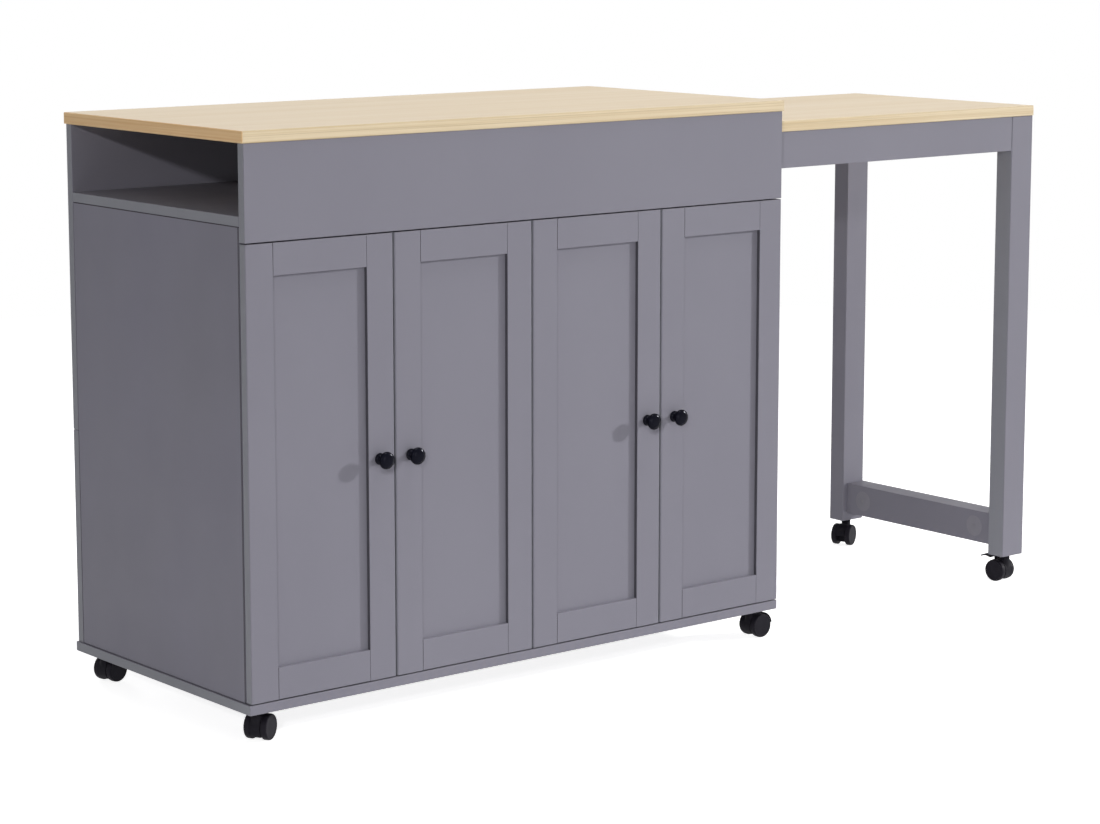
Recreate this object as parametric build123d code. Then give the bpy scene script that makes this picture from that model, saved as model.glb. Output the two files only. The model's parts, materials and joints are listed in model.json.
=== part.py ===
# Kitchen island on casters with a table that draws out of its right end.
# Millimetres: +X along the length, +Y to the back, +Z up. The floor is z = 0, and the origin lies under
# the middle of the whole island with the table drawn out and the doors shut.
import math
import os

from build123d import *

# Worktop and carcass
worktop_length = 1066.0
worktop_depth = 504.0
worktop_thickness = 18.0
worktop_ease = 1.0  # chamfer of the laminated edges
working_height = 910.0
end_overhang = 3.0  # worktop and base past the side panels
face_overhang = 2.0  # worktop past the fascia and past the back
board_thickness = 15.0
board_ease = 0.6  # chamfer of the painted edges
upright_ease = 1.2  # wider, so the joints above and below the uprights show
upright_seat_gap = 0.3  # hairline joint under the bay floor
upright_back_gap = 0.9  # open joint before the back boards
fascia_height = 144.0
bay_height = 106.0  # clear height of the bay under the worktop
lower_back_height = 344.0
back_seam = 0.8  # open joint between the two back boards

# Shelves and their pins
shelf_underside = 340.0  # above the base board
shelf_setback = 20.0
shelf_end_gap = 1.6
shelf_back_gap = 1.0
pin_radius = 2.5
pin_reach = 9.0  # out of the panel
pin_depth = 6.3  # into the panel
pin_inset = 42.0  # from the shelf's front and back edges
pin_seat_gap = 0.1
bore_fit = 0.05  # radial room round anything pushed into a bore
cut_past = 1.0  # every cut starts this far outside the face it enters

# Doors
door_hinge_sides = (1, -1, 1, -1)  # 1 for a door hinged on its left edge
door_gap = 3.0
door_end_gap = 2.0  # under the fascia and over the base
door_seat_gap = 2.5  # between the doors and the carcass
stile_width = 48.0
rail_height = 48.0
door_edge_radius = 2.0
joint_ease = 0.6  # small rounding where stiles and rails meet
panel_thickness = 5.0
panel_recess = 6.5
groove_depth = 8.0
groove_play = 0.3
shoulder_gap = 0.6  # open joint between each rail's shoulders and the stiles
panel_float = 1.0  # room for the panel in the depth of its groove

# Knobs
knob_projection = 23.0
knob_head_radius = 13.25
knob_rim_out = 17.2  # distance of the widest ring from the door
knob_rim_half = 2.5
knob_rim_round = 1.5
knob_neck_radius = 5.2
knob_neck_start = 6.0
knob_neck_end = 9.5
knob_base_radius = 9.0
knob_base_thickness = 1.6
knob_cove_bow = 0.9  # hollow of the curve over the foot
knob_flare_bow = 1.4  # hollow of the curve under the head
knob_from_edge = 27.5

# Cup hinges
hinge_from_end = 100.0
cup_radius = 17.5
cup_depth = 12.5
cup_wall = 0.8
cup_from_edge = 3.0
cup_flange_thickness = 0.8
cup_flange_rim = 1.0
cup_ear_spacing = 48.0
cup_ear_width = 14.0
pivot_from_edge = 7.0
pivot_from_face = 5.8
hinge_pin_radius = 1.0
running_fit = 0.05  # radial room of every turning pin
knuckle_radius = 2.2
knuckle_height = 7.0
knuckle_side_gap = 0.1
pin_lug_thickness = 1.8
arm_thickness = 2.0
arm_bend = 2.0
crank_start = 3.0  # behind the carcass front
crank_end = 12.0
channel_start = 18.0
channel_length = 58.0
channel_height = 16.0
channel_depth = 9.0
channel_wall = 1.5
plate_thickness = 2.8
plate_height = 18.0
plate_wing_from_front = 37.0
plate_wing_width = 16.0
plate_wing_height = 48.0

# Table
table_reach = 644.0  # table end past the worktop end
table_length = 1100.0
table_top_thickness = 18.0
table_drop = 19.0  # table top below the worktop's underside
table_side_gap = 10.0  # on each side in the bay
leg_along = 54.0
leg_across = 36.0
leg_setback = 1.0
leg_ease = 1.2
apron_thickness = 15.0
apron_setback = 1.0
inner_overhang = 5.0
glide_height = 8.0
glide_length = 60.0
glide_round = 3.0
glide_seat_gap = 0.3
stretcher_height = 58.0
stretcher_thickness = 44.0
stretcher_lift = 16.0  # above the leg ends
cap_radius = 19.0
cap_from_leg = 44.0
cap_seat_depth = 1.5
cap_dome = 0.8

# Casters
caster_height = 50.0
caster_inset = 33.0  # stem centre from the base's edges
caster_trail = 11.0
caster_width = 38.0
wheel_radius = 20.0
wheel_gap = 0.6  # between each wheel and the hood
wheel_shoulder = 3.0
wheel_face_dish = 0.8
axle_radius = 2.5
axle_cover = 1.6  # wheel face over the axle's end
hood_width = 17.0
hood_proud = 0.3  # hood past the treads
hood_foot = 6.0  # lowest level of the hood
hood_axle_wall = 5.0  # hood behind the axle, where its lower rear is open
swivel_boss_radius = 8.5
swivel_seat_gap = 0.3
collar_radius = 8.0
collar_thickness = 2.5
kingpin_radius = 3.0
kingpin_length = 17.5
spigot_radius = 4.0
base_spigot_length = 12.0
leg_spigot_length = 30.0
lever_angle = 74.0  # lever pivot round the axle, from level at the rear
lever_pivot_radius = 1.0
lever_barrel_radius = 2.0
lever_barrel_width = 6.0
lever_gap = 0.4  # between the hood and the barrel
lever_neck_width = 2.2
lever_lift = 54.0  # off the brake
guard_width = 34.0  # the lever's curved blade, which guards the treads when pressed
guard_gap = 0.9
guard_thickness = 2.4
guard_start = 64.0
guard_end = 8.0
lug_radius = 2.6
lug_thickness = 2.0
lug_gap = 0.2

# How each caster stands: heading of its trail in degrees, whether it has a brake, lift of its lever
cabinet_casters = {"front_left": (30, True, lever_lift), "front_right": (0, True, 0),
                   "back_left": (15, False, 0), "back_right": (165, False, 0)}
table_casters = {"table_front": (97, True, lever_lift), "table_back": (-157, False, 0)}

# Planes across the length
overall_length = worktop_length + table_reach
left_end = -overall_length / 2
right_end = left_end + worktop_length
table_end = overall_length / 2
carcass_left = left_end + end_overhang
carcass_right = right_end - end_overhang
carcass_middle = (carcass_left + carcass_right) / 2
left_inner = carcass_left + board_thickness
right_inner = carcass_right - board_thickness
partition_left = carcass_middle - board_thickness / 2
partition_right = carcass_middle + board_thickness / 2
door_count = len(door_hinge_sides)
door_width = (carcass_right - carcass_left - (door_count - 1) * door_gap) / door_count

# Planes across the depth
overall_depth = knob_projection - face_overhang + worktop_depth
worktop_front = -overall_depth / 2 + knob_projection - face_overhang
worktop_back = worktop_front + worktop_depth
face_front = worktop_front + face_overhang
face_back = face_front + board_thickness
carcass_front = face_back + door_seat_gap
back_outer = worktop_back - face_overhang
back_inner = back_outer - board_thickness

# Levels
base_top = caster_height + board_thickness
worktop_underside = working_height - worktop_thickness
bay_floor_top = worktop_underside - bay_height
bay_floor_underside = bay_floor_top - board_thickness
fascia_bottom = worktop_underside - fascia_height
door_bottom = base_top + door_end_gap
door_top = fascia_bottom - door_end_gap
door_middle = (door_bottom + door_top) / 2
shelf_bottom = base_top + shelf_underside
pin_level = shelf_bottom - pin_seat_gap - pin_radius
table_level = worktop_underside - table_drop
table_underside = table_level - table_top_thickness
apron_bottom = bay_floor_top + glide_height

# Table planes
table_front = face_back + table_side_gap
table_back = back_inner - table_side_gap
table_inner = table_end - table_length
leg_outer_x = table_end - leg_setback
leg_inner_x = leg_outer_x - leg_along
leg_front_y = table_front + leg_setback
leg_back_y = table_back - leg_setback
apron_inner_x = table_inner + inner_overhang


def block(x0, x1, y0, y1, z0, z1):
    return Pos((x0 + x1) / 2, (y0 + y1) / 2, (z0 + z1) / 2) * Box(x1 - x0, y1 - y0, z1 - z0)


def board(x0, x1, y0, y1, z0, z1, ease=board_ease):
    plain = block(x0, x1, y0, y1, z0, z1)
    return chamfer(plain.edges(), ease)


def cylinder_along_x(x0, x1, y, z, radius):
    return Pos((x0 + x1) / 2, y, z) * Rot(0, 90, 0) * Cylinder(radius, abs(x1 - x0))


def cylinder_along_y(x, y0, y1, z, radius):
    return Pos(x, (y0 + y1) / 2, z) * Rot(90, 0, 0) * Cylinder(radius, abs(y1 - y0))


def cylinder_along_z(x, y, z0, z1, radius):
    return Pos(x, y, (z0 + z1) / 2) * Cylinder(radius, abs(z1 - z0))


def bowed_arc(start, end, bow):
    run = math.hypot(end[0] - start[0], end[1] - start[1])
    middle_x = (start[0] + end[0]) / 2 - bow * (end[1] - start[1]) / run
    middle_y = (start[1] + end[1]) / 2 + bow * (end[0] - start[0]) / run
    return ThreePointArc(start, (middle_x, middle_y), end)


def dome_arc(radius, base, rise):
    ball = (radius ** 2 + rise ** 2) / (2 * rise)
    half_angle = math.asin(radius / ball) / 2
    middle = (ball * math.sin(half_angle), base + rise - ball * (1 - math.cos(half_angle)))
    return ThreePointArc((radius, base), middle, (0, base + rise))


def save(node, *pieces):
    solids = [piece.solid() for piece in pieces]
    shape = solids[0] if len(solids) == 1 else Compound(solids)
    export_step(shape, os.path.join("parts", node + ".step"))


# Shelves and pins


def shelf_bays():
    return [(left_inner, partition_left), (partition_right, right_inner)]


def shelf(inner_left, inner_right):
    return board(inner_left + shelf_end_gap, inner_right - shelf_end_gap,
                 carcass_front + shelf_setback, back_inner - shelf_back_gap,
                 shelf_bottom, shelf_bottom + board_thickness)


def pin_rows():
    first = carcass_front + shelf_setback + pin_inset
    last = back_inner - shelf_back_gap - pin_inset
    return [first, last]


def shelf_pin(face_x, outward, y):
    return cylinder_along_x(face_x - outward * pin_depth, face_x + outward * pin_reach, y, pin_level, pin_radius)


def pin_bores(face_x, outward):
    bores = []
    for y in pin_rows():
        bores.append(cylinder_along_x(face_x - outward * (pin_depth + bore_fit), face_x + outward * cut_past,
                                      y, pin_level, pin_radius + bore_fit))
    return bores


def all_shelf_pins():
    pins = []
    for inner_left, inner_right in shelf_bays():
        for y in pin_rows():
            pins.append(shelf_pin(inner_left, 1, y))
            pins.append(shelf_pin(inner_right, -1, y))
    return pins


# Carcass


def caster_places():
    near_x = left_end + caster_inset
    far_x = right_end - caster_inset
    near_y = face_front + caster_inset
    far_y = worktop_back - caster_inset
    return {"front_left": (near_x, near_y), "front_right": (far_x, near_y),
            "back_left": (near_x, far_y), "back_right": (far_x, far_y)}


def table_caster_places():
    leg_x = (leg_inner_x + leg_outer_x) / 2
    return {"table_front": (leg_x, leg_front_y + leg_across / 2),
            "table_back": (leg_x, leg_back_y - leg_across / 2)}


def base_board():
    base = board(left_end, carcass_right, face_front, worktop_back, caster_height, base_top)
    for x, y in caster_places().values():
        base -= cylinder_along_z(x, y, caster_height - cut_past,
                                 caster_height + base_spigot_length + bore_fit, spigot_radius + bore_fit)
    return base


def upright(x0, x1, bored_faces):
    panel = board(x0, x1, carcass_front, back_inner - upright_back_gap, base_top,
                  bay_floor_underside - upright_seat_gap, upright_ease)
    for face_x, outward in bored_faces:
        for bore in pin_bores(face_x, outward):
            panel -= bore
    return panel


def save_carcass():
    save("worktop", board(left_end, right_end, worktop_front, worktop_back, worktop_underside, working_height,
                          worktop_ease))
    save("fascia_panel", board(carcass_left, carcass_right, face_front, face_back, fascia_bottom,
                               worktop_underside))
    save("bay_floor", board(carcass_left, carcass_right, face_back, back_inner, bay_floor_underside,
                            bay_floor_top))
    save("left_side_panel", upright(carcass_left, left_inner, [(left_inner, 1)]))
    save("right_side_panel", upright(right_inner, carcass_right, [(right_inner, -1)]))
    save("centre_partition", upright(partition_left, partition_right,
                                     [(partition_left, -1), (partition_right, 1)]))
    save("base_board", base_board())
    seam = base_top + lower_back_height
    save("lower_back_panel", board(carcass_left, carcass_right, back_inner, back_outer, base_top, seam))
    save("upper_back_panel", board(carcass_left, carcass_right, back_inner, back_outer, seam + back_seam,
                                   worktop_underside))
    save("shelves", *[shelf(*bay) for bay in shelf_bays()])
    save("shelf_pins", *all_shelf_pins())


# Doors: u runs inward from the hinged edge, v back from the front face


def door_hinge_side(number):
    return door_hinge_sides[number - 1]


def door_hinge_x(number):
    left_edge = carcass_left + (number - 1) * (door_width + door_gap)
    return left_edge if door_hinge_side(number) == 1 else left_edge + door_width


def on_door(number, piece):
    turned = piece if door_hinge_side(number) == 1 else mirror(piece, about=Plane.YZ)
    return Pos(door_hinge_x(number), face_front, 0) * turned


def hinge_levels():
    return [door_bottom + hinge_from_end, door_top - hinge_from_end]


def groove_center():
    return panel_recess + panel_thickness / 2


def stile(hinged):
    outline = Pos(stile_width / 2, board_thickness / 2) * Rectangle(stile_width, board_thickness)
    outer = outline.vertices().sort_by(Axis.X)[:2]
    outline = fillet(outer, door_edge_radius)
    inner = outline.vertices().sort_by(Axis.X)[-2:]
    outline = fillet(inner, joint_ease)
    groove_width = panel_thickness + 2 * groove_play
    outline -= Pos(stile_width - groove_depth / 2, groove_center()) * Rectangle(groove_depth, groove_width)
    piece = Pos(0, 0, door_bottom) * extrude(outline, door_top - door_bottom)
    if hinged:
        for level in hinge_levels():
            piece -= cylinder_along_y(cup_from_edge + cup_radius, board_thickness - cup_depth - bore_fit,
                                      board_thickness + cut_past, level, cup_radius + bore_fit)
        return piece
    return Pos(door_width, 0, 0) * mirror(piece, about=Plane.YZ)


def rail(at_top):
    outline = Pos(board_thickness / 2, rail_height / 2) * Rectangle(board_thickness, rail_height)
    outline = fillet(outline.vertices(), joint_ease)
    groove_width = panel_thickness + 2 * groove_play
    outline -= Pos(groove_center(), rail_height - groove_depth / 2) * Rectangle(groove_width, groove_depth)
    shoulder = stile_width + shoulder_gap
    bar = Pos(shoulder, 0, 0) * extrude(Plane.YZ * outline, door_width - 2 * shoulder)
    tongue = groove_depth - groove_play
    bar += block(stile_width - tongue, door_width - stile_width + tongue, panel_recess,
                 panel_recess + panel_thickness, 0, rail_height - groove_depth)
    if at_top:
        return Pos(0, 0, door_top) * mirror(bar, about=Plane.XY)
    return Pos(0, 0, door_bottom) * bar


def door_panel():
    reach = groove_depth - panel_float
    return block(stile_width - reach, door_width - stile_width + reach, panel_recess,
                 panel_recess + panel_thickness, door_bottom + rail_height - reach,
                 door_top - rail_height + reach)


def knob():
    foot_edge = (knob_base_radius, knob_base_thickness)
    cove = bowed_arc(foot_edge, (knob_neck_radius, knob_neck_start), knob_cove_bow)
    neck = Line(cove @ 1, (knob_neck_radius, knob_neck_end))
    rim_radius = knob_head_radius - knob_rim_round
    rim_start = (rim_radius, knob_rim_out - knob_rim_half)
    flare = bowed_arc((knob_neck_radius, knob_neck_end), rim_start, knob_flare_bow)
    rim_end = knob_rim_out + knob_rim_half
    rim = ThreePointArc(rim_start, (knob_head_radius, knob_rim_out), (rim_radius, rim_end))
    dome = dome_arc(rim_radius, rim_end, knob_projection - rim_end)
    foot = Polyline((0, knob_projection), (0, 0), (knob_base_radius, 0), foot_edge)
    profile = make_face([cove, neck, flare, rim, dome, *foot.edges()])
    turned = revolve(Plane.XZ * profile, Axis.Z)
    return Pos(door_width - knob_from_edge, 0, door_middle) * Rot(90, 0, 0) * turned


# Cup hinges: the cup rides in the door, the arm and its plate stay on the carcass


def hinge_cup():
    center_u = cup_from_edge + cup_radius
    bottom = board_thickness - cup_depth
    shell = cylinder_along_y(center_u, bottom, board_thickness, 0, cup_radius)
    hollow = cylinder_along_y(center_u, bottom + cup_wall, board_thickness + cut_past, 0, cup_radius - cup_wall)
    flange_face = Circle(cup_radius + cup_flange_rim)
    flange_face += SlotCenterToCenter(cup_ear_spacing, cup_ear_width, rotation=90)
    flange_face -= Circle(cup_radius - cup_wall)
    flange = extrude(Plane.XZ * flange_face, -cup_flange_thickness)
    lug_inner = knuckle_height / 2 + knuckle_side_gap
    lug_outer = lug_inner + pin_lug_thickness
    lug_half = knuckle_radius
    cup = shell - hollow + Pos(center_u, board_thickness, 0) * flange
    for side in (1, -1):
        low, high = sorted((side * lug_inner, side * lug_outer))
        lug = block(pivot_from_edge - lug_half, pivot_from_edge + lug_half, bottom, pivot_from_face + lug_half,
                    low, high)
        cup += lug & shell
    return cup + cylinder_along_z(pivot_from_edge, pivot_from_face, -lug_outer, lug_outer, hinge_pin_radius)


def arm_run():
    return board_thickness + plate_thickness + arm_thickness / 2


def hinge_arm(panel_u):
    front = board_thickness + door_seat_gap
    seat = panel_u + plate_thickness
    end_u = seat + arm_thickness / 2
    end_v = front + channel_start + channel_wall
    bends = [(pivot_from_edge, pivot_from_face), (arm_run(), pivot_from_face)]
    if arm_run() > end_u:
        bends += [(arm_run(), front + crank_start), (end_u, front + crank_end)]
    path = FilletPolyline(*bends, (end_u, end_v), radius=arm_bend)
    arm = extrude(trace(path, arm_thickness), knuckle_height / 2, both=True)
    half = knuckle_height / 2
    arm += cylinder_along_z(pivot_from_edge, pivot_from_face, -half, half, knuckle_radius)
    channel = block(seat, seat + channel_depth, front + channel_start, front + channel_start + channel_length,
                    -channel_height / 2, channel_height / 2)
    channel -= block(seat - cut_past, seat + channel_depth - channel_wall, end_v,
                     front + channel_start + channel_length - channel_wall,
                     channel_wall - channel_height / 2, channel_height / 2 - channel_wall)
    arm += channel
    return arm - cylinder_along_z(pivot_from_edge, pivot_from_face, -half - cut_past, half + cut_past,
                                  hinge_pin_radius + running_fit)


def hinge_plate(panel_u):
    front = board_thickness + door_seat_gap
    bar_middle = front + channel_start + channel_length / 2
    outline = Pos(bar_middle, 0) * Rectangle(channel_length, plate_height)
    outline += Pos(front + plate_wing_from_front, 0) * Rectangle(plate_wing_width, plate_wing_height)
    return Pos(panel_u, 0, 0) * extrude(Plane.YZ * outline, plate_thickness)


def hinge_panel_u(number):
    if number in (1, door_count):
        return board_thickness
    return (board_thickness - door_gap) / 2


def save_doors():
    arms = []
    plates = []
    for number in range(1, door_count + 1):
        name = f"door_{number}"
        save(name + "_stiles", on_door(number, stile(True)), on_door(number, stile(False)))
        save(name + "_rails", on_door(number, rail(False)), on_door(number, rail(True)))
        save(name + "_panel", on_door(number, door_panel()))
        save(name + "_knob", on_door(number, knob()))
        cups = [on_door(number, Pos(0, 0, level) * hinge_cup()) for level in hinge_levels()]
        save(name + "_hinge_cups", *cups)
        for level in hinge_levels():
            arms.append(on_door(number, Pos(0, 0, level) * hinge_arm(hinge_panel_u(number))))
            plates.append(on_door(number, Pos(0, 0, level) * hinge_plate(hinge_panel_u(number))))
    save("hinge_arms", *arms)
    save("hinge_plates", *plates)


# Table


def table_leg(stem_x, stem_y):
    leg = board(leg_inner_x, leg_outer_x, stem_y - leg_across / 2, stem_y + leg_across / 2, caster_height,
                table_underside, leg_ease)
    return leg - cylinder_along_z(stem_x, stem_y, caster_height - cut_past,
                                  caster_height + leg_spigot_length + bore_fit, spigot_radius + bore_fit)


def cap_rows():
    return [leg_front_y + leg_across + cap_from_leg, leg_back_y - leg_across - cap_from_leg]


def stretcher():
    bottom = caster_height + stretcher_lift
    bar = board(leg_outer_x - stretcher_thickness, leg_outer_x, leg_front_y + leg_across,
                leg_back_y - leg_across, bottom, bottom + stretcher_height)
    face_x = leg_outer_x - stretcher_thickness
    for y in cap_rows():
        bar -= cylinder_along_x(face_x - cut_past, face_x + cap_seat_depth, y, bottom + stretcher_height / 2,
                                cap_radius + bore_fit)
    return bar


def stretcher_cap(y):
    depth = cap_seat_depth
    edge = Polyline((0, depth + cap_dome), (0, 0), (cap_radius, 0), (cap_radius, depth))
    dome = dome_arc(cap_radius, depth, cap_dome)
    disc = revolve(Plane.XZ * make_face([dome, *edge.edges()]), Axis.Z)
    level = caster_height + stretcher_lift + stretcher_height / 2
    return Pos(leg_outer_x - stretcher_thickness + depth, y, level) * Rot(0, -90, 0) * disc


def glide(y0, y1):
    skid = block(apron_inner_x, apron_inner_x + glide_length, y0, y1, bay_floor_top + glide_seat_gap,
                 apron_bottom)
    ends = skid.edges().filter_by(Axis.Y).group_by(Axis.Z)[0]
    return fillet(ends, glide_round)


def save_table():
    save("table_top", board(table_inner, table_end, table_front, table_back, table_underside, table_level,
                            worktop_ease))
    for name, place in table_caster_places().items():
        save(name + "_leg", table_leg(*place))
    front_y = leg_front_y + apron_setback
    back_y = leg_back_y - apron_setback
    save("table_front_apron", board(apron_inner_x, leg_inner_x, front_y, front_y + apron_thickness,
                                    apron_bottom, table_underside))
    save("table_back_apron", board(apron_inner_x, leg_inner_x, back_y - apron_thickness, back_y, apron_bottom,
                                   table_underside))
    save("table_inner_rail", board(apron_inner_x, apron_inner_x + apron_thickness, front_y + apron_thickness,
                                   back_y - apron_thickness, apron_bottom, table_underside))
    outer_x = leg_outer_x - apron_setback
    save("table_outer_rail", board(outer_x - apron_thickness, outer_x, leg_front_y + leg_across,
                                   leg_back_y - leg_across, apron_bottom, table_underside))
    save("table_stretcher", stretcher())
    save("stretcher_caps", *[stretcher_cap(y) for y in cap_rows()])
    save("table_glides", glide(front_y, front_y + apron_thickness), glide(back_y - apron_thickness, back_y))


# Casters: built with the kingpin on the Z axis and the wheels trailing along +X


def caster_stem(spigot_length):
    collar_bottom = caster_height - collar_thickness
    stem = cylinder_along_z(0, 0, collar_bottom, caster_height, collar_radius)
    stem += cylinder_along_z(0, 0, caster_height, caster_height + spigot_length, spigot_radius)
    return stem + cylinder_along_z(0, 0, collar_bottom - kingpin_length, collar_bottom, kingpin_radius)


def wheel():
    inner = hood_width / 2 + wheel_gap
    outer = caster_width / 2
    face = outer - wheel_face_dish
    rim = wheel_radius - wheel_shoulder
    corner = wheel_shoulder * math.sqrt(0.5)
    bend = ThreePointArc((outer - wheel_shoulder, wheel_radius),
                         (outer - wheel_shoulder + corner, rim + corner), (outer, rim))
    rest = Polyline((outer, rim), (face, rim - wheel_face_dish), (face, 0), (outer - axle_cover, 0),
                    (outer - axle_cover, axle_radius + bore_fit), (inner, axle_radius + bore_fit),
                    (inner, wheel_radius), (outer - wheel_shoulder, wheel_radius))
    profile = make_face([bend, *rest.edges()])
    return revolve(Plane.YZ * profile, Axis.Y)


def caster_wheels():
    right = Pos(caster_trail, 0, wheel_radius) * wheel()
    left = mirror(right, about=Plane.XZ)
    reach = caster_width / 2 - axle_cover - bore_fit
    axle = cylinder_along_y(caster_trail, -reach, reach, wheel_radius, axle_radius)
    return [right, left, axle]


def ring_sector(inner_radius, outer_radius, first, last):
    center = (caster_trail, wheel_radius)
    outer = CenterArc(center, outer_radius, first, last - first)
    inner = CenterArc(center, inner_radius, first, last - first)
    return make_face([outer, inner, Line(outer @ 0, inner @ 0), Line(outer @ 1, inner @ 1)])


def lever_pivot():
    out = wheel_radius + hood_proud + lever_gap + lever_barrel_radius
    angle = math.radians(lever_angle)
    return caster_trail + out * math.cos(angle), wheel_radius + out * math.sin(angle)


def caster_hood(braked):
    hood_radius = wheel_radius + hood_proud
    drum = Pos(caster_trail, wheel_radius) * Circle(hood_radius)
    drum -= Pos(caster_trail, hood_foot - hood_radius / 2) * Rectangle(2 * hood_radius, hood_radius)
    rear_open = Rectangle(hood_radius, hood_radius)
    drum -= Pos(caster_trail + hood_axle_wall + hood_radius / 2, wheel_radius - hood_radius / 2) * rear_open
    hood = extrude(Plane.XZ * drum, hood_width / 2, both=True)
    top = caster_height - collar_thickness - swivel_seat_gap
    hood += cylinder_along_z(0, 0, wheel_radius, top, swivel_boss_radius)
    hood -= cylinder_along_z(0, 0, top - kingpin_length, top + cut_past, kingpin_radius + running_fit)
    hood -= cylinder_along_y(caster_trail, -hood_width, hood_width, wheel_radius, axle_radius + running_fit)
    if braked:
        hood += lever_lugs()
    return hood


def lever_lugs():
    pivot_x, pivot_z = lever_pivot()
    web = Pos(pivot_x, pivot_z) * Rot(0, 0, lever_angle) * Pos(-lug_radius, 0) * Rectangle(
        2 * lug_radius, 2 * lug_radius)
    outline = Pos(pivot_x, pivot_z) * Circle(lug_radius) + web
    lug = extrude(Plane.XZ * outline, lug_thickness / 2, both=True)
    place = lever_barrel_width / 2 + lug_gap + lug_thickness / 2
    lugs = Pos(0, place, 0) * lug + Pos(0, -place, 0) * lug
    return lugs + cylinder_along_y(pivot_x, -place, place, pivot_z, lever_pivot_radius)


def brake_lever(lift):
    pivot_x, pivot_z = lever_pivot()
    inner_radius = wheel_radius + guard_gap
    outer_radius = inner_radius + guard_thickness
    blade = ring_sector(inner_radius, outer_radius, guard_end, guard_start)
    middle_radius = (inner_radius + outer_radius) / 2
    start = math.radians(guard_start)
    run_x = caster_trail + middle_radius * math.cos(start) - pivot_x
    run_z = wheel_radius + middle_radius * math.sin(start) - pivot_z
    neck_length = math.hypot(run_x, run_z)
    neck = Pos(pivot_x, pivot_z) * Rot(0, 0, math.degrees(math.atan2(run_z, run_x))) * Pos(
        neck_length / 2, 0) * Rectangle(neck_length + lever_neck_width / 2, lever_neck_width)
    arm = neck + Pos(pivot_x, pivot_z) * Circle(lever_barrel_radius)
    arm -= Pos(pivot_x, pivot_z) * Circle(lever_pivot_radius + running_fit)
    lever = extrude(Plane.XZ * blade, guard_width / 2, both=True)
    lever += extrude(Plane.XZ * arm, lever_barrel_width / 2, both=True)
    return Pos(pivot_x, 0, pivot_z) * Rot(0, -lift, 0) * Pos(-pivot_x, 0, -pivot_z) * lever


def save_casters(casters, places, stem_node, spigot_length):
    stems = []
    for name, (heading, braked, lift) in casters.items():
        stand = Pos(*places[name], 0) * Rot(0, 0, heading)
        stems.append(stand * caster_stem(spigot_length))
        save(name + "_caster_hood", stand * caster_hood(braked))
        save(name + "_caster_wheels", *[stand * piece for piece in caster_wheels()])
        if braked:
            save(name + "_brake_lever", stand * brake_lever(lift))
    save(stem_node, *stems)


os.makedirs("parts", exist_ok=True)
save_carcass()
save_doors()
save_table()
save_casters(cabinet_casters, caster_places(), "cabinet_caster_stems", base_spigot_length)
save_casters(table_casters, table_caster_places(), "table_caster_stems", leg_spigot_length)
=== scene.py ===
import json
import math

import bmesh
import bpy
from mathutils import Matrix, Vector


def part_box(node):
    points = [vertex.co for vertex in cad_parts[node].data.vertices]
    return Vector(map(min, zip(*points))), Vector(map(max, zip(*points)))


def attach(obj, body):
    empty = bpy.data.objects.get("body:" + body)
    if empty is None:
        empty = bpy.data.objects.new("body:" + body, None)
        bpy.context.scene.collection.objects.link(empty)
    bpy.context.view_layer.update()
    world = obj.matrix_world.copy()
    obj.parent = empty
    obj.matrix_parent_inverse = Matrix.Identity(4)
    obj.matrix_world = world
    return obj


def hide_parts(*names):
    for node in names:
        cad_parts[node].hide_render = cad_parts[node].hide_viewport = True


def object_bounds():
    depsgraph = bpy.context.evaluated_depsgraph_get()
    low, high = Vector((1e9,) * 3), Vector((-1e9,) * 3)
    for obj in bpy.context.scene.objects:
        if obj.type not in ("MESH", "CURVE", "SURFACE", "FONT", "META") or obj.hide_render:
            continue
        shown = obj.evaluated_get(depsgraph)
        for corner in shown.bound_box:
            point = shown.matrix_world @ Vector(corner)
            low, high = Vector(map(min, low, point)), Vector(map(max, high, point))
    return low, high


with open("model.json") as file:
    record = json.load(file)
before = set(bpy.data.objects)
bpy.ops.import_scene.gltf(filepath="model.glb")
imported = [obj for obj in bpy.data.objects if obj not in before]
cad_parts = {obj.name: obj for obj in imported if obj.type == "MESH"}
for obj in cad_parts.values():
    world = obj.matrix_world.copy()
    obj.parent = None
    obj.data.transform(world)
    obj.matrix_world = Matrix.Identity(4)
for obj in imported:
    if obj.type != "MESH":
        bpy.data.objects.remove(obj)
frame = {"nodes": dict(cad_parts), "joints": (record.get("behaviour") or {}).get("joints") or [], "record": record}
cadLow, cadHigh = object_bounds()
nodes = frame["nodes"]
joints = {joint["name"]: joint for joint in frame["joints"]}
print("island: loaded", len(nodes), "nodes")


# node helpers shared by the finishes

def startMaterial(name):
    material = bpy.data.materials.new(name)
    material.use_nodes = True
    tree = material.node_tree
    return material, tree, tree.nodes["Principled BSDF"]


def addNode(tree, kind, inputs=None, **settings):
    node = tree.nodes.new(kind)
    for key, value in settings.items():
        setattr(node, key, value)
    for key, value in (inputs or {}).items():
        node.inputs[key].default_value = value
    return node


def stretchedNoise(tree, stretch, detail, roughness=0.55, distortion=0.0, shift=(0, 0, 0)):
    coords = addNode(tree, "ShaderNodeTexCoord")
    mapping = addNode(tree, "ShaderNodeMapping", {"Scale": stretch, "Location": shift})
    noise = addNode(tree, "ShaderNodeTexNoise", {"Scale": 1.0, "Detail": detail, "Roughness": roughness,
                                                 "Distortion": distortion})
    tree.links.new(coords.outputs["Object"], mapping.inputs["Vector"])
    tree.links.new(mapping.outputs["Vector"], noise.inputs["Vector"])
    return noise.outputs["Fac"]


noiseSpread = (0.3, 0.7)  # where most of a noise's values lie


def remap(tree, source, low, high, toLow, toHigh):
    node = addNode(tree, "ShaderNodeMapRange", {"From Min": low, "From Max": high, "To Min": toLow,
                                                "To Max": toHigh})
    tree.links.new(source, node.inputs["Value"])
    return node.outputs["Result"]


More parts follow.
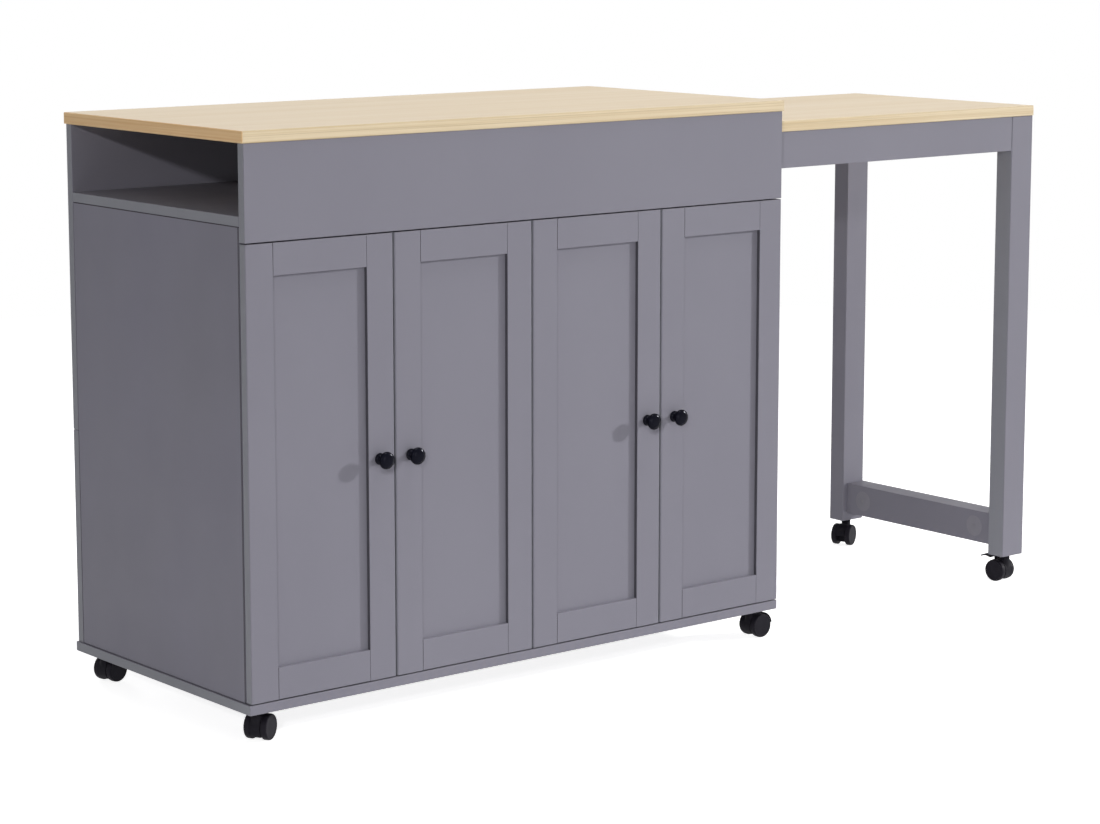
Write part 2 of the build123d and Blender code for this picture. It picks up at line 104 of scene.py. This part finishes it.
def mathNode(tree, operation, first, second):
    node = addNode(tree, "ShaderNodeMath", operation=operation)
    for socket, value in zip(node.inputs, (first, second)):
        if isinstance(value, (int, float)):
            socket.default_value = value
        else:
            tree.links.new(value, socket)
    return node.outputs["Value"]


def mixColor(tree, factor, first, second):
    node = addNode(tree, "ShaderNodeMix", data_type="RGBA")
    for index, value in ((0, factor), (6, first), (7, second)):  # the sockets that belong to colours
        if isinstance(value, (int, float)):
            node.inputs[index].default_value = value
        elif isinstance(value, tuple):
            node.inputs[index].default_value = (*value, 1.0)
        else:
            tree.links.new(value, node.inputs[index])
    return node.outputs[2]


def axisParts(tree, source):
    coords = addNode(tree, "ShaderNodeTexCoord")
    split = addNode(tree, "ShaderNodeSeparateXYZ")
    tree.links.new(coords.outputs[source], split.inputs["Vector"])
    return split.outputs


def facing(tree, axis, least=0.9, oneSide=False):
    along = axisParts(tree, "Normal")[axis]
    if oneSide:  # only the faces that look down the axis
        return mathNode(tree, "LESS_THAN", along, -least)
    return mathNode(tree, "GREATER_THAN", mathNode(tree, "ABSOLUTE", along, 0.0), least)


def addBump(tree, shader, height, strength, distance):
    bump = addNode(tree, "ShaderNodeBump", {"Strength": strength, "Distance": distance})
    tree.links.new(height, bump.inputs["Height"])
    tree.links.new(bump.outputs["Normal"], shader.inputs["Normal"])


# finishes

# joint is a painted shade colour, for recesses, joints and eased seams
paint = {"color": (0.238, 0.231, 0.275), "deep": (0.222, 0.215, 0.258), "cool": (0.234, 0.226, 0.286),
         "band": (0.272, 0.276, 0.310), "joint": (0.085, 0.082, 0.098), "easeLimit": 0.985,
         "drift": (2.6, 2.6, 1.7), "sheen": (14, 14, 9), "roughness": (0.44, 0.54), "specular": 0.22,
         "peel": 900, "peelStrength": 0.25, "peelDepth": 0.00004,
         "doorMargin": 0.002, "sideCover": 0.0148}  # metres, for the painted shade in the joints


# paints shade, in the joint colour, on the faces that look down the axis within the given span
def paintedJointShade(tree, color, axis, test, middle, half):
    fromMiddle = mathNode(tree, "SUBTRACT", axisParts(tree, "Object")["X"], middle)
    inJoint = mathNode(tree, test, mathNode(tree, "ABSOLUTE", fromMiddle, 0.0), half)
    shadedFaces = mathNode(tree, "MULTIPLY", inJoint, facing(tree, axis, oneSide=axis == "Y"))
    return mixColor(tree, shadedFaces, color, paint["joint"])


# picks the eased edges, which get painted shade in the joint colour
def easedEdges(tree):
    normal = axisParts(tree, "Normal")
    sizes = [mathNode(tree, "ABSOLUTE", normal[axis], 0.0) for axis in "XYZ"]
    widest = mathNode(tree, "MAXIMUM", mathNode(tree, "MAXIMUM", sizes[0], sizes[1]), sizes[2])
    return mathNode(tree, "LESS_THAN", widest, paint["easeLimit"])


def greyPaint(name, bandAxis=None, joint=None, shade="color"):
    material, tree, shader = startMaterial(name)
    drift = stretchedNoise(tree, paint["drift"], 3)
    color = mixColor(tree, remap(tree, drift, *noiseSpread, 0, 1), paint[shade], paint["deep"])
    if bandAxis:
        color = mixColor(tree, facing(tree, bandAxis), color, paint["band"])  # glued band on cut edges
    if joint:
        color = paintedJointShade(tree, color, *joint)  # painted shade on the faces down in the joints and recesses
    if shade == "cool":
        color = mixColor(tree, easedEdges(tree), color, paint["joint"])  # painted shade on all eased edges, so the seams look dark
    tree.links.new(color, shader.inputs["Base Color"])
    peel = stretchedNoise(tree, (paint["peel"],) * 3, 2)
    sheen = stretchedNoise(tree, paint["sheen"], 4)
    tree.links.new(remap(tree, sheen, *noiseSpread, *paint["roughness"]), shader.inputs["Roughness"])
    addBump(tree, shader, peel, paint["peelStrength"], paint["peelDepth"])
    shader.inputs["Specular IOR Level"].default_value = paint["specular"]
    return material


# end and endStripe are a painted shade tint for the end that faces -X
oak = {"pale": (0.845, 0.705, 0.52), "warm": (0.805, 0.658, 0.463), "pore": (0.66, 0.50, 0.33),
       "edge": (0.785, 0.652, 0.452), "edgeStripe": (0.678, 0.526, 0.315), "end": (0.99, 0.675, 0.36),
       "endStripe": (0.88, 0.55, 0.265), "streak": (0.56, 0.43, 0.25), "edgeFacing": 0.6,
       "roughness": (0.46, 0.56), "specular": 0.35, "poreStrength": 0.3, "poreDepth": 0.00006,
       "noise": {"figure": ((1.1, 26, 26), 5, 0.6, 0.6),  # stretch, detail, roughness, distortion, shift
                 "pores": ((9, 620, 620), 2, 0.5, 0.0, (3.1, 0.7, 0.2)),
                 "bands": ((0.5, 7, 7), 2, 0.5, 0.2, (1.7, 4.2, 0.5)),
                 "stripes": ((1.6, 330, 330), 3, 0.6, 0.3, (0.4, 2.2, 5.0)),
                 "endStripes": ((330, 1.6, 330), 3, 0.6, 0.3, (2.0, 0.6, 1.3)),
                 "streaks": ((1.3, 760, 760), 2, 0.5, 0.2, (5.2, 1.1, 2.6))},
       "share": {"figure": (0.32, 0.68, 0, 1), "bands": (0.35, 0.7, 0, 0.35),
                 "pores": (0.58, 0.72, 0, 0.3), "stripes": (0.42, 0.66, 0, 1),
                 "endStripes": (0.42, 0.66, 0, 1),
                 "streaks": (0.57, 0.66, 0, 0.75)}}  # from low, from high, to low, to high


def oakLaminate(name):
    material, tree, shader = startMaterial(name)
    noise = {layer: stretchedNoise(tree, *settings) for layer, settings in oak["noise"].items()}
    share = {layer: remap(tree, noise[layer], *limits) for layer, limits in oak["share"].items()}
    face = mixColor(tree, share["figure"], oak["pale"], oak["warm"])
    face = mixColor(tree, share["bands"], face, oak["warm"])
    face = mixColor(tree, share["pores"], face, oak["pore"])
    frontEdge = mixColor(tree, share["stripes"], oak["edge"], oak["edgeStripe"])
    frontEdge = mixColor(tree, share["streaks"], frontEdge, oak["streak"])
    rightEdge = mixColor(tree, share["endStripes"], oak["edge"], oak["edgeStripe"])
    shadeMatchedLeftEdge = mixColor(tree, share["endStripes"], oak["end"], oak["endStripe"])  # painted shade tint: the end facing -X is warmer, matched to how it looked in shade
    color = mixColor(tree, facing(tree, "Y", oak["edgeFacing"]), face, frontEdge)
    color = mixColor(tree, facing(tree, "X", oak["edgeFacing"]), color, rightEdge)
    color = mixColor(tree, facing(tree, "X", oak["edgeFacing"], True), color, shadeMatchedLeftEdge)
    tree.links.new(color, shader.inputs["Base Color"])
    gloss = remap(tree, noise["figure"], *noiseSpread, *oak["roughness"])
    tree.links.new(gloss, shader.inputs["Roughness"])
    addBump(tree, shader, noise["pores"], oak["poreStrength"], oak["poreDepth"])
    shader.inputs["Specular IOR Level"].default_value = oak["specular"]
    return material


enamel = {"color": (0.0012, 0.0013, 0.0050), "edge": (0.0030, 0.0032, 0.0078), "roughness": (0.20, 0.26),
          "specular": 0.05, "tint": (0.7, 0.7, 1.0, 1.0), "coat": 0.07, "coatRoughness": 0.17,
          "cloud": 60, "peel": 420, "peelStrength": 0.12, "peelDepth": 0.00005}


def blackEnamel(name):
    material, tree, shader = startMaterial(name)
    cloud = stretchedNoise(tree, (enamel["cloud"],) * 3, 3)
    tree.links.new(mixColor(tree, cloud, enamel["color"], enamel["edge"]), shader.inputs["Base Color"])
    tree.links.new(remap(tree, cloud, *noiseSpread, *enamel["roughness"]), shader.inputs["Roughness"])
    peel = stretchedNoise(tree, (enamel["peel"],) * 3, 2)
    addBump(tree, shader, peel, enamel["peelStrength"], enamel["peelDepth"])
    shader.inputs["Specular IOR Level"].default_value = enamel["specular"]
    shader.inputs["Specular Tint"].default_value = enamel["tint"]
    shader.inputs["Coat Weight"].default_value = enamel["coat"]
    shader.inputs["Coat Roughness"].default_value = enamel["coatRoughness"]
    return material


moulding = {"cloud": 85, "cloudSpread": (0.35, 0.7), "grain": 1500, "grainStrength": 0.3,
            "grainDepth": 0.00006, "specular": 0.07}
casterNylon = {"color": (0.0105, 0.0095, 0.0135), "worn": (0.016, 0.0148, 0.0195),
               "roughness": (0.5, 0.6)}
wheelNylon = {"color": (0.0125, 0.0112, 0.0162), "worn": (0.0185, 0.0168, 0.0228),
              "roughness": (0.44, 0.54)}
paleNylon = {"color": (0.72, 0.71, 0.67), "worn": (0.66, 0.65, 0.61), "roughness": (0.4, 0.5)}
greyCap = {"color": (0.285, 0.277, 0.315), "worn": (0.272, 0.264, 0.301), "roughness": (0.4, 0.5)}


def mouldedPlastic(name, plastic):
    material, tree, shader = startMaterial(name)
    cloud = stretchedNoise(tree, (moulding["cloud"],) * 3, 4)
    wear = remap(tree, cloud, *moulding["cloudSpread"], 0, 1)
    tree.links.new(mixColor(tree, wear, plastic["color"], plastic["worn"]), shader.inputs["Base Color"])
    tree.links.new(remap(tree, cloud, *noiseSpread, *plastic["roughness"]), shader.inputs["Roughness"])
    grain = stretchedNoise(tree, (moulding["grain"],) * 3, 2)
    addBump(tree, shader, grain, moulding["grainStrength"], moulding["grainDepth"])
    shader.inputs["Specular IOR Level"].default_value = moulding["specular"]
    return material


steel = {"color": (0.60, 0.60, 0.61), "dull": (0.50, 0.50, 0.52), "roughness": (0.22, 0.38),
         "brush": (900, 60, 900), "brushStrength": 0.1, "brushDepth": 0.00004}


def platedSteel(name):
    material, tree, shader = startMaterial(name)
    brush = stretchedNoise(tree, steel["brush"], 3)
    tree.links.new(mixColor(tree, brush, steel["color"], steel["dull"]), shader.inputs["Base Color"])
    tree.links.new(remap(tree, brush, *noiseSpread, *steel["roughness"]), shader.inputs["Roughness"])
    addBump(tree, shader, brush, steel["brushStrength"], steel["brushDepth"])
    shader.inputs["Metallic"].default_value = 1.0
    return material


doorNumbers = range(1, 5)
finishes = {
    "oak": oakLaminate("paleOakLaminate"),
    "paint": greyPaint("greyPaint"),
    "paintAcross": greyPaint("greyPaintBandedEnds", "X"),
    "paintUpright": greyPaint("greyPaintUprightsShadedSeams", shade="cool"),
    "enamel": blackEnamel("blackEnamel"),
    "hood": mouldedPlastic("casterNylon", casterNylon),
    "wheel": mouldedPlastic("wheelNylon", wheelNylon),
    "steel": platedSteel("platedSteel"),
    "glide": mouldedPlastic("paleNylon", paleNylon),
    "cap": mouldedPlastic("greyCap", greyCap),
}
# each door's stile and rail faces down in its panel recess and joints get painted shade
for number in doorNumbers:
    low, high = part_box(f"door_{number}_stiles")
    recessShadeSpan = ("X", "LESS_THAN", (low.x + high.x) / 2, (high.x - low.x) / 2 - paint["doorMargin"])
    finishes[f"door_{number}_stiles"] = greyPaint(f"door{number}StileShadedPaint", "X", recessShadeSpan)
    finishes[f"door_{number}_rails"] = greyPaint(f"door{number}RailShadedPaint", None, recessShadeSpan)
# the back panel's front faces behind the side panels get painted shade
low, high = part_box("lower_back_panel")
shadeBehindSides = ("Y", "GREATER_THAN", (low.x + high.x) / 2, (high.x - low.x) / 2 - paint["sideCover"])
finishes["lower_back_panel"] = greyPaint("lowerBackShadedPaint", "X", shadeBehindSides)
acrossBoards = ("fascia_panel", "bay_floor", "base_board", "upper_back_panel", "shelves",
                "table_front_apron", "table_back_apron", "table_front_leg")
uprightBoards = ("left_side_panel", "right_side_panel", "centre_partition")


def finishFor(node, slot):
    if node in finishes:
        return finishes[node]
    if slot == "wood_laminate":
        return finishes["oak"]
    if slot == "grey_paint":
        if node in acrossBoards:
            return finishes["paintAcross"]
        return finishes["paintUpright"] if node in uprightBoards else finishes["paint"]
    if slot == "black_enamel":
        return finishes["enamel"]
    if slot == "black_plastic":
        return finishes["wheel"] if node.endswith("_wheels") else finishes["hood"]
    return {"plated_steel": finishes["steel"], "pale_nylon": finishes["glide"],
            "grey_plastic": finishes["cap"]}[slot]


for part in frame["record"]["subparts"]:
    mesh = nodes[part["node"]].data
    mesh.materials.clear()
    mesh.materials.append(finishFor(part["node"], part["material_slot"]))


# pieces made here

def addPiece(name, mesh, body, material, replaced=()):
    mesh.materials.clear()
    mesh.materials.append(material)
    piece = bpy.data.objects.new(name, mesh)
    bpy.context.scene.collection.objects.link(piece)
    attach(piece, body)
    if replaced:
        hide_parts(*replaced)


weldDistance = 1e-6
weldAngle = 32  # degrees, past which an edge of the welded hardware stays sharp
bendLimit = 0.49  # of a run, so that two bends on it never meet
inMillimetres = Matrix.Scale(0.001, 4)


def meshFrom(bm, name, angle):
    bmesh.ops.remove_doubles(bm, verts=bm.verts, dist=weldDistance)
    bmesh.ops.recalc_face_normals(bm, faces=bm.faces)
    mesh = bpy.data.meshes.new(name)
    bm.to_mesh(mesh)
    bm.free()
    mesh.shade_smooth()
    mesh.set_sharp_from_angle(angle=math.radians(angle))
    return mesh


def latheInto(bm, profile, place, steps):
    rings = []
    for radius, along in profile:
        if radius == 0:
            rings.append([bm.verts.new(place @ Vector((0, 0, along)))])
            continue
        ring = []
        for step in range(steps):
            turn = 2 * math.pi * step / steps
            spot = Vector((radius * math.cos(turn), radius * math.sin(turn), along))
            ring.append(bm.verts.new(place @ spot))
        rings.append(ring)
    for lower, upper in zip(rings, rings[1:]):
        for step in range(steps):
            following = (step + 1) % steps
            corners = [lower[step % len(lower)], lower[following % len(lower)],
                       upper[following % len(upper)], upper[step % len(upper)]]
            unique = list(dict.fromkeys(corners))
            if len(unique) > 2:
                bm.faces.new(unique)


def roundedProfile(points, cuts):
    smooth = []
    for index, (radius, along, bend) in enumerate(points):
        here = Vector((radius, along))
        if bend == 0 or index in (0, len(points) - 1):
            smooth.append((radius, along))
            continue
        before = Vector(points[index - 1][:2]) - here
        after = Vector(points[index + 1][:2]) - here
        start = here + before.normalized() * min(bend, before.length * bendLimit)
        end = here + after.normalized() * min(bend, after.length * bendLimit)
        for cut in range(cuts + 1):
            share = cut / cuts
            spot = start.lerp(here, share).lerp(here.lerp(end, share), share)
            smooth.append((spot.x, spot.y))
    return smooth


# turned knobs

knob = {"steps": 48, "cuts": 5, "angle": 50,
        "points": ((0, 0, 0), (9.0, 0, 0.5), (9.0, 1.6, 0.7), (6.2, 3.4, 1.4), (5.2, 6.0, 2.0),
                   (5.2, 9.6, 3.0), (7.6, 13.2, 3.0), (11.9, 14.7, 1.2), (13.25, 16.0, 1.3),
                   (13.25, 19.2, 1.0), (12.0, 20.8, 0.6), (10.1, 21.8, 1.0), (7.7, 22.66, 1.6),
                   (0, 23.0, 0))}  # radius, distance from the door, bend
for number in doorNumbers:
    node = f"door_{number}_knob"
    low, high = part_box(node)
    foot = Matrix.Translation(((low.x + high.x) / 2, high.y, (low.z + high.z) / 2))
    place = foot @ Matrix.Rotation(math.pi / 2, 4, "X") @ inMillimetres
    bm = bmesh.new()
    latheInto(bm, roundedProfile(knob["points"], knob["cuts"]), place, knob["steps"])
    addPiece(f"door{number}TurnedKnob", meshFrom(bm, node, knob["angle"]), f"door_{number}",
             finishes["enamel"], (node,))
print("island: knobs turned")


# twin wheels with a moulded face

wheel = {"steps": 56, "cuts": 4, "angle": 40, "axle": 2.5, "axleEnd": 16.8, "axleSteps": 20,
         "points": ((2.55, 9.1, 0), (19.3, 9.1, 0.3), (20.0, 9.8, 0.6), (20.0, 16.6, 1.6),
                    (19.3, 18.5, 1.1), (17.9, 18.95, 0.5), (17.5, 18.95, 0.2), (17.1, 18.4, 0.3),
                    (6.0, 18.6, 3.0), (0, 18.65, 0))}  # radius, distance from the middle, bend
casters = ("front_left", "front_right", "back_left", "back_right", "table_front", "table_back")
brakedCasters = ("front_left", "front_right", "table_front")
halfAxle = ((wheel["axle"], 0), (wheel["axle"], wheel["axleEnd"]), (0, wheel["axleEnd"]))
for caster in casters:
    spin = joints[caster + "_wheel_spin"]
    axis = Vector(spin["axis"])
    bm = bmesh.new()
    for side in (1, -1):
        outward = (axis * side).to_track_quat("Z", "Y").to_matrix().to_4x4()
        place = Matrix.Translation(spin["pos_m"]) @ outward @ inMillimetres
        latheInto(bm, roundedProfile(wheel["points"], wheel["cuts"]), place, wheel["steps"])
        latheInto(bm, halfAxle, place, wheel["axleSteps"])
    node = caster + "_caster_wheels"
    name = caster.replace("_", "") + "TwinWheels"
    addPiece(name, meshFrom(bm, node, wheel["angle"]), caster + "_wheels",
             finishes["wheel"], (node,))
print("island: wheels turned")


# rounded hardware keeps its solid's shape, welded and shaded smooth

def weldedCopy(node, body, material):
    bm = bmesh.new()
    bm.from_mesh(nodes[node].data)
    name = node.title().replace("_", "") + "Smooth"
    addPiece(name, meshFrom(bm, node, weldAngle), body, material, (node,))


for caster in casters:
    weldedCopy(caster + "_caster_hood", caster + "_caster", finishes["hood"])
for caster in brakedCasters:
    weldedCopy(caster + "_brake_lever", caster + "_brake", finishes["hood"])
for node in ("shelf_pins", "hinge_arms", "hinge_plates", "cabinet_caster_stems"):
    weldedCopy(node, "cabinet", finishes["steel"])
for number in doorNumbers:
    weldedCopy(f"door_{number}_hinge_cups", f"door_{number}", finishes["steel"])
weldedCopy("table_caster_stems", "table", finishes["steel"])
weldedCopy("stretcher_caps", "table", finishes["cap"])
weldedCopy("table_glides", "table", finishes["glide"])
print("island: hardware welded")


# hinge screws, scattered by a node tree

screws = {"plateRadius": 0.0036, "cupRadius": 0.0034, "armRadius": 0.0031, "height": 0.0014,
          "slot": 0.0009, "fromDoorEnd": 0.100, "wingFromFront": 0.037, "wingHalf": 0.016, "earHalf": 0.024,
          "plateThickness": 0.0028, "channelDepth": 0.009, "armFromFront": (0.030, 0.060),
          "sides": 20, "topShare": 0.72, "crossShare": 1.05}


def screwTree():
    tree = bpy.data.node_groups.new("hingeScrews", "GeometryNodeTree")
    tree.interface.new_socket("Geometry", in_out="INPUT", socket_type="NodeSocketGeometry")
    for label, value in (("Head Radius", screws["plateRadius"]), ("Head Height", screws["height"]),
                         ("Slot Width", screws["slot"])):
        socket = tree.interface.new_socket(label, in_out="INPUT", socket_type="NodeSocketFloat")
        socket.default_value = value
    tree.interface.new_socket("Finish", in_out="INPUT", socket_type="NodeSocketMaterial")
    tree.interface.new_socket("Geometry", in_out="OUTPUT", socket_type="NodeSocketGeometry")
    start = tree.nodes.new("NodeGroupInput")
    end = tree.nodes.new("NodeGroupOutput")
    head = addNode(tree, "GeometryNodeMeshCone", {"Vertices": screws["sides"], "Fill Segments": 1})
    tree.links.new(start.outputs["Head Radius"], head.inputs["Radius Bottom"])
    top = mathNode(tree, "MULTIPLY", start.outputs["Head Radius"], screws["topShare"])
    tree.links.new(top, head.inputs["Radius Top"])
    tree.links.new(start.outputs["Head Height"], head.inputs["Depth"])
    reach = mathNode(tree, "MULTIPLY", start.outputs["Head Radius"], screws["crossShare"])
    bars = addNode(tree, "GeometryNodeJoinGeometry")
    for first, second in (("X", "Y"), ("Y", "X")):
        size = tree.nodes.new("ShaderNodeCombineXYZ")
        tree.links.new(reach, size.inputs[first])
        tree.links.new(start.outputs["Slot Width"], size.inputs[second])
        tree.links.new(start.outputs["Head Height"], size.inputs["Z"])
        bar = tree.nodes.new("GeometryNodeMeshCube")
        tree.links.new(size.outputs["Vector"], bar.inputs["Size"])
        lift = tree.nodes.new("ShaderNodeCombineXYZ")
        tree.links.new(start.outputs["Head Height"], lift.inputs["Z"])
        raised = tree.nodes.new("GeometryNodeTransform")
        tree.links.new(bar.outputs["Mesh"], raised.inputs["Geometry"])
        tree.links.new(lift.outputs["Vector"], raised.inputs["Translation"])
        tree.links.new(raised.outputs["Geometry"], bars.inputs["Geometry"])
    cut = addNode(tree, "GeometryNodeMeshBoolean", {"Self Intersection": True}, operation="DIFFERENCE",
                  solver="EXACT")
    tree.links.new(head.outputs["Mesh"], cut.inputs["Mesh 1"])
    tree.links.new(bars.outputs["Geometry"], cut.inputs["Mesh 2"])
    outward = addNode(tree, "GeometryNodeInputNamedAttribute", {"Name": "outward"},
                      data_type="FLOAT_VECTOR")
    turn = addNode(tree, "FunctionNodeAlignRotationToVector", axis="Z")
    tree.links.new(outward.outputs["Attribute"], turn.inputs["Vector"])
    spread = tree.nodes.new("GeometryNodeInstanceOnPoints")
    tree.links.new(start.outputs["Geometry"], spread.inputs["Points"])
    tree.links.new(cut.outputs["Mesh"], spread.inputs["Instance"])
    tree.links.new(turn.outputs["Rotation"], spread.inputs["Rotation"])
    realized = tree.nodes.new("GeometryNodeRealizeInstances")
    tree.links.new(spread.outputs["Instances"], realized.inputs["Geometry"])
    coat = tree.nodes.new("GeometryNodeSetMaterial")
    tree.links.new(realized.outputs["Geometry"], coat.inputs["Geometry"])
    tree.links.new(start.outputs["Finish"], coat.inputs["Material"])
    tree.links.new(coat.outputs["Geometry"], end.inputs["Geometry"])
    return tree


screwNodes = screwTree()
screwInputs = {item.name: item.identifier for item in screwNodes.interface.items_tree
               if item.in_out == "INPUT"}


def scatterScrews(name, body, spots, radius):
    base = bpy.data.meshes.new(name + "Spots")
    base.from_pydata([spot for spot, outward in spots], [], [])
    attribute = base.attributes.new("outward", "FLOAT_VECTOR", "POINT")
    for item, (spot, outward) in zip(attribute.data, spots):
        item.vector = outward
    carrier = bpy.data.objects.new(name + "Spots", base)
    bpy.context.scene.collection.objects.link(carrier)
    modifier = carrier.modifiers.new("screws", "NODES")
    modifier.node_group = screwNodes
    modifier[screwInputs["Head Radius"]] = radius
    modifier[screwInputs["Head Height"]] = screws["height"]
    modifier[screwInputs["Slot Width"]] = screws["slot"]
    modifier[screwInputs["Finish"]] = finishes["steel"]
    graph = bpy.context.evaluated_depsgraph_get()
    mesh = bpy.data.meshes.new_from_object(carrier.evaluated_get(graph))
    carrier.modifiers.clear()
    bpy.data.objects.remove(carrier)
    addPiece(name, mesh, body, finishes["steel"])


plateSpots, armSpots = [], []
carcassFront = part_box("left_side_panel")[0].y
hingedFaces = {1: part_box("left_side_panel")[1].x, 2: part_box("centre_partition")[0].x,
               3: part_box("centre_partition")[1].x, 4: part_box("right_side_panel")[0].x}
for number in doorNumbers:
    side = -joints[f"door_{number}_hinge"]["axis"][2]  # 1 where the hinges are on the left edge
    low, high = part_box(f"door_{number}_stiles")
    cupLow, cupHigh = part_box(f"door_{number}_hinge_cups")
    cupX = (cupLow.x + cupHigh.x) / 2
    cupSpots = []
    for level in (low.z + screws["fromDoorEnd"], high.z - screws["fromDoorEnd"]):
        plateX = hingedFaces[number] + side * screws["plateThickness"]
        wingY = carcassFront + screws["wingFromFront"]
        armX = plateX + side * screws["channelDepth"]
        for sign in (1, -1):
            plateSpots.append(((plateX, wingY, level + sign * screws["wingHalf"]), (side, 0, 0)))
            cupSpots.append(((cupX, cupHigh.y, level + sign * screws["earHalf"]), (0, 1, 0)))
        for along in screws["armFromFront"]:
            armSpots.append(((armX, carcassFront + along, level), (side, 0, 0)))
    scatterScrews(f"door{number}CupScrews", f"door_{number}", cupSpots, screws["cupRadius"])
scatterScrews("hingePlateScrews", "cabinet", plateSpots, screws["plateRadius"])
scatterScrews("hingeArmScrews", "cabinet", armSpots, screws["armRadius"])
print("island: hinge screws scattered")


# floor, light and camera

studio = {"floorColor": 0.80, "floorGlow": 0.82, "floorHalf": 60, "fadeStart": 1.6, "fadeEnd": 4.2,
          "ambient": 0.21,
          "lamps": {"sideSoftbox": (495, 0.45, (0.885, -0.466, 0.293), 9.0),
                    "frontSoftbox": (13.5, 1.2, (-0.20, -3.70, 0.20), 3.7),
                    "topSoftbox": (84, 1.8, (0.05, -0.20, 1.0), 5.0),
                    "cornerLamp": (85, 0.2, (-0.68, -0.65, 0.28), 7.0),
                    "lowLamp": (21, 0.5, (-0.72, -0.69, 0.06), 6.0),
                    "backFill": (110, 1.4, (0.17, 1.0, 0.13), 6.0)}}  # watts, width, direction, distance


def sightRay(tree):
    path = addNode(tree, "ShaderNodeLightPath")
    seen = mathNode(tree, "MAXIMUM", path.outputs["Is Camera Ray"], path.outputs["Is Glossy Ray"])
    return mathNode(tree, "MAXIMUM", seen, path.outputs["Is Transmission Ray"])


def paleFloor():
    material = bpy.data.materials.new("paleFloor")
    material.use_nodes = True
    tree = material.node_tree
    tree.nodes.remove(tree.nodes["Principled BSDF"])
    color = (studio["floorColor"],) * 3 + (1.0,)
    matte = addNode(tree, "ShaderNodeBsdfDiffuse", {"Color": color})
    glow = addNode(tree, "ShaderNodeEmission")
    seenGlow = mathNode(tree, "MULTIPLY", sightRay(tree), studio["floorGlow"])
    tree.links.new(seenGlow, glow.inputs["Strength"])
    near = addNode(tree, "ShaderNodeAddShader")
    tree.links.new(matte.outputs[0], near.inputs[0])
    tree.links.new(glow.outputs[0], near.inputs[1])
    white = addNode(tree, "ShaderNodeEmission")
    tree.links.new(sightRay(tree), white.inputs["Strength"])
    coords = addNode(tree, "ShaderNodeTexCoord")
    length = addNode(tree, "ShaderNodeVectorMath", operation="LENGTH")
    tree.links.new(coords.outputs["Object"], length.inputs[0])
    fade = remap(tree, length.outputs["Value"], studio["fadeStart"], studio["fadeEnd"], 0, 1)
    whole = addNode(tree, "ShaderNodeMixShader")
    tree.links.new(fade, whole.inputs[0])
    tree.links.new(near.outputs[0], whole.inputs[1])
    tree.links.new(white.outputs[0], whole.inputs[2])
    tree.links.new(whole.outputs[0], tree.nodes["Material Output"].inputs["Surface"])
    return material


reach = studio["floorHalf"]
floorMesh = bpy.data.meshes.new("studioFloor")
floorCorners = [(-reach, -reach, 0), (reach, -reach, 0), (reach, reach, 0), (-reach, reach, 0)]
floorMesh.from_pydata(floorCorners, [], [(0, 1, 2, 3)])
floorMesh.materials.append(paleFloor())
floor = bpy.data.objects.new("studioFloor", floorMesh)
bpy.context.scene.collection.objects.link(floor)

world = bpy.data.worlds.new("studio")
bpy.context.scene.world = world
world.use_nodes = True
backdrop = world.node_tree.nodes["Background"]
backdrop.inputs["Color"].default_value = (1, 1, 1, 1)
strength = remap(world.node_tree, sightRay(world.node_tree), 0, 1, studio["ambient"], 1.0)
world.node_tree.links.new(strength, backdrop.inputs["Strength"])


def addLamp(name, power, size, fromSide, distance):
    data = bpy.data.lights.new(name, "AREA")
    data.energy = power
    data.size = size
    lamp = bpy.data.objects.new(name, data)
    aim = (cadLow + cadHigh) / 2
    direction = Vector(fromSide).normalized()
    lamp.location = aim + direction * distance
    lamp.rotation_euler = direction.to_track_quat("Z", "Y").to_euler()
    bpy.context.scene.collection.objects.link(lamp)


for lampName, lampSettings in studio["lamps"].items():
    addLamp(lampName, *lampSettings)

shot = {"focal": 2933.3, "width": 1100, "height": 824, "centerRow": 350, "azimuth": -39.166,
        "elevation": 8.594, "place": (-3.1529, -3.7573, 1.226),
        "sensor": 36.0}  # pixels, then degrees, metres and millimetres
cameraData = bpy.data.cameras.new("photoCamera")
cameraData.sensor_width = shot["sensor"]
cameraData.sensor_fit = "HORIZONTAL"
cameraData.lens = shot["focal"] * shot["sensor"] / shot["width"]
cameraData.shift_y = (shot["centerRow"] - shot["height"] / 2) / shot["width"]
camera = bpy.data.objects.new("photoCamera", cameraData)
azimuth, elevation = math.radians(shot["azimuth"]), math.radians(shot["elevation"])
forward = Vector((-math.sin(azimuth) * math.cos(elevation), math.cos(azimuth) * math.cos(elevation),
                  -math.sin(elevation)))
camera.location = shot["place"]
camera.rotation_euler = forward.to_track_quat("-Z", "Y").to_euler()
bpy.context.scene.collection.objects.link(camera)
bpy.context.scene.camera = camera
bpy.context.scene.view_settings.view_transform = "Standard"

print("island: scene ready")
